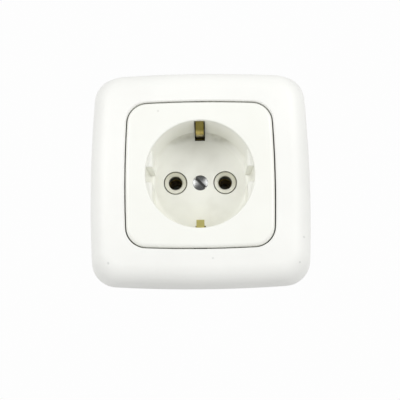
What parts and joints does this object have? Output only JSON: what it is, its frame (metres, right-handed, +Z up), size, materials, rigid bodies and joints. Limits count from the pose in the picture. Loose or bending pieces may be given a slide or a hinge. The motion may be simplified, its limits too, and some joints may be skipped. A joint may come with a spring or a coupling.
{
  "type": "earthed wall socket",
  "caption": "Flush earthed wall socket: soft square frame, centre cover with round plug recess and side earth clips, and an insert with support ring, contacts, terminals and spreading claws.",
  "frame": {"origin": "on the plug axis at the wall surface", "axes": "+Y into the wall, so the front faces -Y; +Z up; +X to the right seen from the front"},
  "size_m": [0.0816, 0.0407, 0.0816],
  "materials": {
    "frame_plastic": "smooth white moulded plastic, soft gloss",
    "cover_plastic": "slightly warm white moulded plastic, soft gloss",
    "base_plastic": "cream moulded plastic",
    "lid_plastic": "pale grey moulded plastic",
    "screw_zinc": "bright zinc plated steel",
    "ring_zinc": "zinc plated sheet steel",
    "contact_brass": "plain brass strip, slightly dulled",
    "spring_steel": "spring steel",
    "terminal_steel": "nickel plated steel",
    "rivet_steel": "plated steel rivets"
  },
  "bodies": {
    "socket": {"cover_frame": "frame_plastic", "centre_cover": "cover_plastic", "cover_screw": "screw_zinc", "socket_base": "base_plastic", "rear_lid": "lid_plastic", "support_ring": "ring_zinc", "earth_bracket": "contact_brass", "live_contact": "contact_brass", "live_contact_spring": "spring_steel", "neutral_contact": "contact_brass", "neutral_contact_spring": "spring_steel", "live_terminal_screw": "terminal_steel", "live_clamp_plate": "terminal_steel", "earth_terminal_screw": "terminal_steel", "earth_clamp_plate": "terminal_steel", "neutral_terminal_screw": "terminal_steel", "neutral_clamp_plate": "terminal_steel", "left_claw_pin": "ring_zinc", "left_claw_screw": "ring_zinc", "right_claw_pin": "ring_zinc", "right_claw_screw": "ring_zinc", "ring_rivet_1": "rivet_steel", "ring_rivet_2": "rivet_steel", "ring_rivet_3": "rivet_steel", "ring_rivet_4": "rivet_steel", "bracket_rivet_1": "rivet_steel", "bracket_rivet_2": "rivet_steel", "lid_screw_1": "ring_zinc", "lid_screw_2": "ring_zinc", "lid_screw_3": "ring_zinc"},
    "left_claw": {"left_claw": "ring_zinc"},
    "right_claw": {"right_claw": "ring_zinc"}
  },
  "joints": [
    {"name": "left_claw_spread", "type": "hinge", "parent": "socket", "child": "left_claw", "pos_m": [-0.023, 0.0023, 0], "axis": [0, 0, 1], "range_deg": [0, 22]},
    {"name": "right_claw_spread", "type": "hinge", "parent": "socket", "child": "right_claw", "pos_m": [0.023, 0.0023, 0], "axis": [0, 0, -1], "range_deg": [0, 22]}
  ]
}
